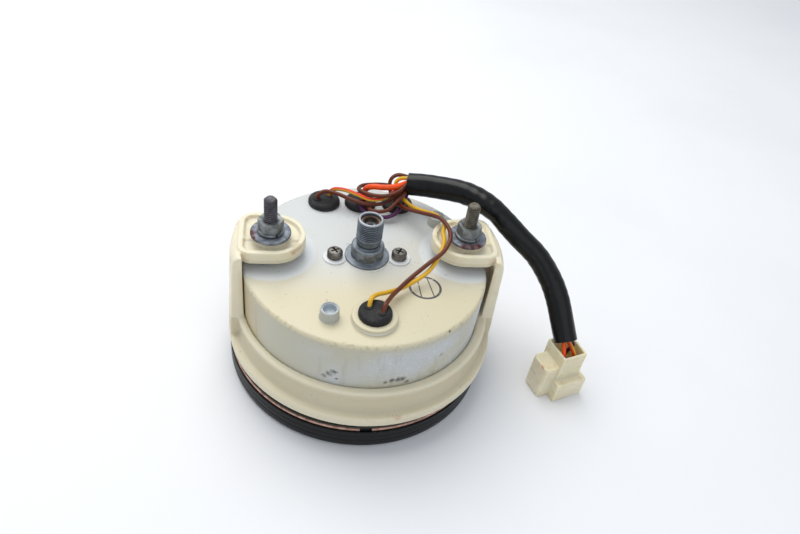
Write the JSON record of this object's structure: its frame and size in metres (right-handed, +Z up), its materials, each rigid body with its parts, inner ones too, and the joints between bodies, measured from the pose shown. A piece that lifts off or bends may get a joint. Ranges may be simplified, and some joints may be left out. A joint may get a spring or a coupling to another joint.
{
  "type": "motorcycle speedometer",
  "caption": "Round speedometer head lying face down, with a back bracket on two studs, threaded cable connector, rubber bulb caps and a sleeved harness ending in a plug.",
  "frame": {"origin": "centre of the bezel's front face, which is the face the part lies on", "axes": "+Z up out of the back of the case along the cable connector and the studs, X through the two mounting studs, -Y towards the top edge of the dial"},
  "size_m": [0.1771, 0.13, 0.0915],
  "materials": {
    "case_paint": "satin off-white enamel, yellowed and scuffed",
    "bracket_nylon": "aged ivory nylon, slightly translucent at its edges",
    "cushion_rubber": "black rubber",
    "stud_steel": "darkened zinc plate",
    "washer_steel": "dull zinc plate with rust at the edges",
    "lock_washer_steel": "dull zinc plate",
    "nut_steel": "worn zinc plate",
    "connector_zinc": "dark bluish zinc, brown stain on the collar",
    "gasket_fibre": "white fibre",
    "bush_bronze": "oiled sintered bronze",
    "screw_steel": "brown-grey oxidised steel",
    "frame_alloy": "die-cast alloy",
    "bezel_paint": "satin black paint",
    "clamp_copper": "dull copper-pink",
    "lens_glass": "clear glass",
    "seal_rubber": "black rubber",
    "shroud_plastic": "matt dark grey",
    "dial_paint": "matt black with white scale",
    "dial_screw_steel": "blackened steel",
    "jewel_plastic": "coloured clear plastic",
    "pointer_plastic": "orange-red needle, black hub",
    "spindle_steel": "polished",
    "cup_alloy": "spun aluminium",
    "hairspring_bronze": "bright phosphor bronze",
    "magnet_iron": "sintered magnet",
    "shaft_steel": "ground steel",
    "worm_brass": "cut brass",
    "wheel_nylon": "white nylon",
    "cross_shaft_steel": "ground steel",
    "axle_steel": "ground steel",
    "drum_white": "white with black figures",
    "drum_black": "black with white figures",
    "pinion_nylon": "white nylon",
    "cap_rubber": "dull black rubber",
    "socket_steel": "tinned steel",
    "bulb_glass": "clear glass on a plated base",
    "sleeve_vinyl": "glossy black vinyl",
    "wire_brown": "brown vinyl",
    "wire_striped": "red vinyl with a yellow stripe",
    "wire_orange": "orange vinyl",
    "wire_purple": "dark purple vinyl",
    "wire_yellow": "yellow vinyl",
    "wire_leads": "orange, striped and purple vinyl",
    "plug_nylon": "translucent ivory nylon",
    "terminal_brass": "tinned brass"
  },
  "bodies": {
    "case": {"rear_case": "case_paint", "mounting_bracket": "bracket_nylon", "bracket_cushion": "cushion_rubber", "mounting_studs": "stud_steel", "stud_flat_washers": "washer_steel", "stud_lock_washers": "lock_washer_steel", "stud_nuts": "nut_steel", "cable_connector": "connector_zinc", "connector_gasket": "gasket_fibre", "connector_bush": "bush_bronze", "movement_screws": "screw_steel", "movement_frame": "frame_alloy", "bezel_ring": "bezel_paint", "bezel_clamp_ring": "clamp_copper", "lens": "lens_glass", "lens_seal": "seal_rubber", "shroud_ring": "shroud_plastic", "dial_plate": "dial_paint", "dial_screws": "dial_screw_steel", "indicator_jewels": "jewel_plastic", "odometer_axle": "axle_steel", "carry_pinion_axle": "axle_steel", "bulb_cap_left": "cap_rubber", "bulb_cap_centre": "cap_rubber", "bulb_cap_right": "cap_rubber", "bulb_cap_lower": "cap_rubber", "bulb_sockets": "socket_steel", "bulbs": "bulb_glass", "harness_sleeve": "sleeve_vinyl", "wire_brown_left": "wire_brown", "wire_striped_left": "wire_striped", "wire_brown_centre": "wire_brown", "wire_orange_centre": "wire_orange", "wire_purple_centre": "wire_purple", "wire_brown_right": "wire_brown", "wire_brown_lower": "wire_brown", "wire_yellow_lower": "wire_yellow", "plug_leads": "wire_leads", "plug_housing": "plug_nylon", "plug_terminals": "terminal_brass"},
    "input_drive": {"input_shaft": "shaft_steel", "drive_worm": "worm_brass", "magnet": "magnet_iron"},
    "pointer_assembly": {"pointer": "pointer_plastic", "pointer_spindle": "spindle_steel", "drag_cup": "cup_alloy", "hairspring": "hairspring_bronze"},
    "cross_drive": {"cross_shaft": "cross_shaft_steel", "worm_wheel": "wheel_nylon", "odometer_worm": "worm_brass"},
    "drum_tenths": {"odometer_drum_1": "drum_white", "odometer_drive_wheel": "wheel_nylon"},
    "drum_units": {"odometer_drum_2": "drum_black"},
    "drum_tens": {"odometer_drum_3": "drum_black"},
    "drum_hundreds": {"odometer_drum_4": "drum_black"},
    "drum_thousands": {"odometer_drum_5": "drum_black"},
    "carry_1": {"carry_pinion_1": "pinion_nylon"},
    "carry_2": {"carry_pinion_2": "pinion_nylon"},
    "carry_3": {"carry_pinion_3": "pinion_nylon"},
    "carry_4": {"carry_pinion_4": "pinion_nylon"}
  },
  "joints": [
    {"name": "input_spin", "type": "hinge", "parent": "case", "child": "input_drive", "pos_m": [0, 0, 0.06], "axis": [0, 0, 1], "continuous": true},
    {"name": "pointer_swing", "type": "hinge", "parent": "case", "child": "pointer_assembly", "pos_m": [0, 0, 0.018], "axis": [0, 0, 1], "range_deg": [0, 270], "stiffness_Nm_per_rad": 0.0002, "springref_deg": -17.19},
    {"name": "cross_spin", "type": "hinge", "parent": "case", "child": "cross_drive", "pos_m": [0.0104, 0, 0.03484], "axis": [0, 1, 0], "continuous": true},
    {"name": "drum_tenths_spin", "type": "hinge", "parent": "case", "child": "drum_tenths", "pos_m": [0, 0.02, 0.0248], "axis": [1, 0, 0], "continuous": true},
    {"name": "drum_units_spin", "type": "hinge", "parent": "case", "child": "drum_units", "pos_m": [0, 0.02, 0.0248], "axis": [1, 0, 0], "continuous": true},
    {"name": "drum_tens_spin", "type": "hinge", "parent": "case", "child": "drum_tens", "pos_m": [0, 0.02, 0.0248], "axis": [1, 0, 0], "continuous": true},
    {"name": "drum_hundreds_spin", "type": "hinge", "parent": "case", "child": "drum_hundreds", "pos_m": [0, 0.02, 0.0248], "axis": [1, 0, 0], "continuous": true},
    {"name": "drum_thousands_spin", "type": "hinge", "parent": "case", "child": "drum_thousands", "pos_m": [0, 0.02, 0.0248], "axis": [1, 0, 0], "continuous": true},
    {"name": "carry_1_spin", "type": "hinge", "parent": "case", "child": "carry_1", "pos_m": [0, 0.02653, 0.03133], "axis": [1, 0, 0], "continuous": true},
    {"name": "carry_2_spin", "type": "hinge", "parent": "case", "child": "carry_2", "pos_m": [0, 0.02653, 0.03133], "axis": [1, 0, 0], "continuous": true},
    {"name": "carry_3_spin", "type": "hinge", "parent": "case", "child": "carry_3", "pos_m": [0, 0.02653, 0.03133], "axis": [1, 0, 0], "continuous": true},
    {"name": "carry_4_spin", "type": "hinge", "parent": "case", "child": "carry_4", "pos_m": [0, 0.02653, 0.03133], "axis": [1, 0, 0], "continuous": true}
  ],
  "couplings": [
    {"joint": "cross_spin", "follows": "input_spin", "ratio": -0.028571},
    {"joint": "drum_tenths_spin", "follows": "input_spin", "ratio": -0.00071429},
    {"joint": "drum_units_spin", "follows": "input_spin", "ratio": -0.000071429},
    {"joint": "drum_tens_spin", "follows": "input_spin", "ratio": -0.0000071429},
    {"joint": "drum_hundreds_spin", "follows": "input_spin", "ratio": -0.00000071429},
    {"joint": "drum_thousands_spin", "follows": "input_spin", "ratio": -0.000000071429},
    {"joint": "carry_1_spin", "follows": "input_spin", "ratio": 0.00017857},
    {"joint": "carry_2_spin", "follows": "input_spin", "ratio": 0.000017857},
    {"joint": "carry_3_spin", "follows": "input_spin", "ratio": 0.0000017857},
    {"joint": "carry_4_spin", "follows": "input_spin", "ratio": 0.00000017857}
  ]
}
